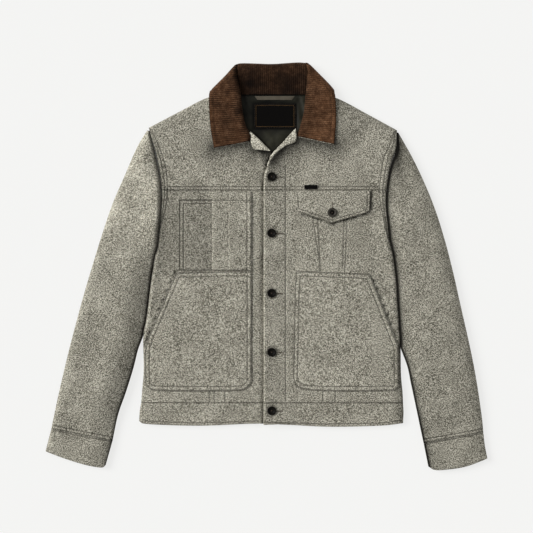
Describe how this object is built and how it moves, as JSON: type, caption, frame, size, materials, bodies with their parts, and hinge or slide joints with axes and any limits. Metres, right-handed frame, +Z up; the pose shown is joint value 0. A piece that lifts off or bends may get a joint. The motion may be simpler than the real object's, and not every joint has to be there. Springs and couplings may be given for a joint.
{
  "type": "insulated wool jacket, laid flat",
  "caption": "Insulated waist-length wool jacket with corduroy collar, buttoned front, chest and hand pockets, laid flat on its back.",
  "frame": {"origin": "middle of the laid-out jacket's outline, on the surface it lies on", "axes": "+Z up from the surface, +Y towards the collar, +X towards the wearer's left sleeve"},
  "size_m": [0.863, 0.794, 0.0209],
  "materials": {
    "wool": "brushed heather wool",
    "collar_cord": "brown corduroy pile",
    "lining": "smooth dark olive lining",
    "label": "matt woven label",
    "tape": "woven tape",
    "horn": "satin black"
  },
  "bodies": {
    "root": {"back": "wool", "waistband_back": "wool", "back_lining": "lining", "neck_label": "label", "hanger_loop": "tape", "front_yoke_right": "wool", "front_yoke_left": "wool", "front_panel_right": "wool", "front_panel_left": "wool", "waistband_right": "wool", "waistband_left": "wool", "facing_right": "wool", "facing_left": "wool", "chest_patch_right": "wool", "chest_flap_left": "wool", "hand_pocket_right": "wool", "hand_pocket_left": "wool", "tab_label": "label", "sleeve_right_upper": "wool", "sleeve_right_under": "wool", "sleeve_left_upper": "wool", "sleeve_left_under": "wool", "cuff_right_upper": "wool", "cuff_right_under": "wool", "cuff_left_upper": "wool", "cuff_left_under": "wool", "collar_upper": "collar_cord", "collar_under_right": "wool", "collar_under_left": "wool", "collar_under_back": "wool", "collar_fall_back": "collar_cord", "button_1": "horn", "button_2": "horn", "button_3": "horn", "button_4": "horn", "button_5": "horn", "flap_button": "horn"}
  },
  "joints": []
}
